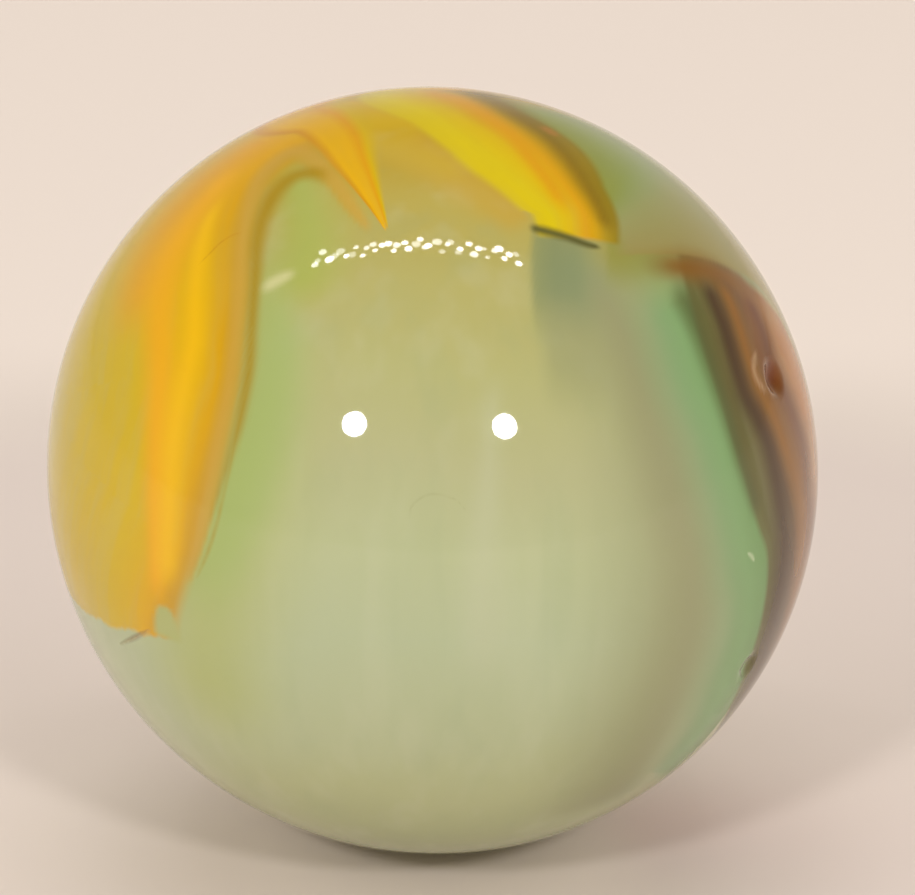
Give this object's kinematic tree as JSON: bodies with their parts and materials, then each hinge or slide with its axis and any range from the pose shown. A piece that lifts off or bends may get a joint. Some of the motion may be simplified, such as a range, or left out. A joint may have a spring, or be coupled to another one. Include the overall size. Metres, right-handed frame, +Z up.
{
  "type": "glass marble",
  "caption": "Swirl glass marble: a solid fused-glass ball with yellow, orange, green and brown ribbons in a milky grey-green body.",
  "frame": {"origin": "centre of the ball", "axes": "+Z up with the yellow ribbons' crossing at the top, -Y the front, where the wide milky window shows, +X to the right of the front"},
  "size_m": [0.016, 0.0158, 0.0158],
  "materials": {
    "swirled_glass": "polished by fire, opaque to milky"
  },
  "bodies": {
    "root": {"glass_ball": "swirled_glass"}
  },
  "joints": []
}
